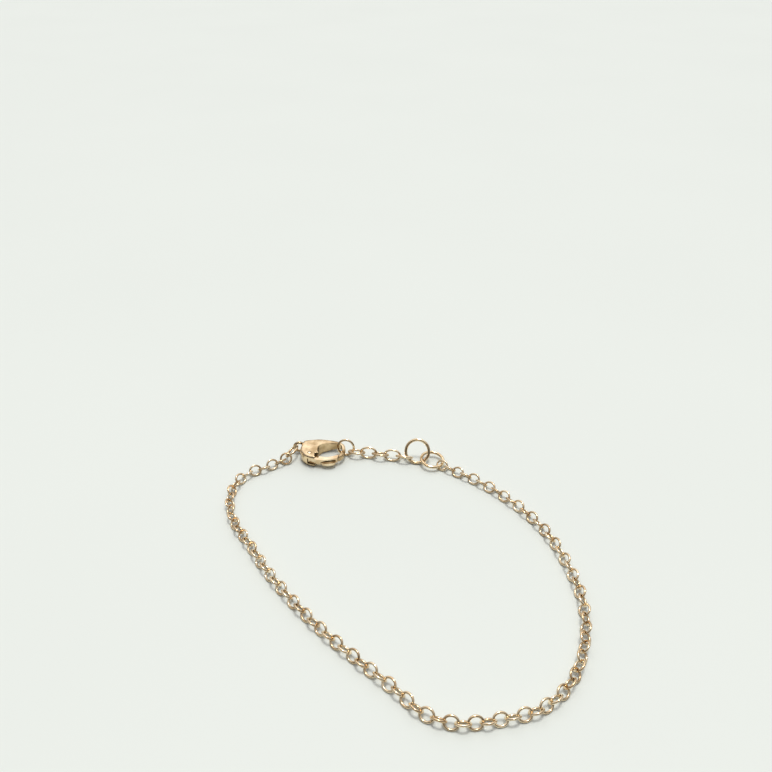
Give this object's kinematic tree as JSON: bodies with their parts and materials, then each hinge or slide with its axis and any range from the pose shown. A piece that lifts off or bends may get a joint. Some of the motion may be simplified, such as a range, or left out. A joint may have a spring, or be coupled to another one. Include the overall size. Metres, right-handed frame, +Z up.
{
  "type": "chain bracelet",
  "caption": "Fine cable chain bracelet with a lobster clasp and a short extension chain, lying closed in a loop",
  "frame": {"origin": "centre of the loop's bounding box, on the surface that it lies on", "axes": "+Z up from the surface, +X to the right and +Y away from the viewer, with the clasp at the far left"},
  "size_m": [0.0627, 0.0612, 0.0042],
  "materials": {
    "chain_gold": "polished gold-filled metal",
    "clasp_body_gold": "polished gold-filled metal",
    "clasp_lever_gold": "polished gold-filled metal",
    "clasp_pin_gold": "polished gold-filled metal",
    "ring_gold": "polished gold-filled metal",
    "extension_gold": "polished gold-filled metal",
    "large_ring_gold": "polished gold-filled metal"
  },
  "bodies": {
    "bracelet": {"chain_left": "chain_gold", "chain_right": "chain_gold", "clasp_body": "clasp_body_gold", "clasp_pin": "clasp_pin_gold", "clasp_link": "ring_gold", "jump_ring": "ring_gold", "extension_end_ring": "extension_gold", "extension_link_1": "extension_gold", "extension_link_2": "extension_gold", "extension_link_3": "extension_gold", "extension_link_4": "extension_gold", "extension_link_5": "extension_gold", "upright_ring": "large_ring_gold", "flat_ring": "large_ring_gold"},
    "lever": {"clasp_lever": "clasp_lever_gold"}
  },
  "joints": [
    {"name": "lever_hinge", "type": "hinge", "parent": "bracelet", "child": "lever", "pos_m": [-0.01647, 0.02611, 0.0013], "axis": [0, 0, 1], "range_deg": [0, 22], "stiffness_Nm_per_rad": 0.001, "springref_deg": -17.19}
  ]
}
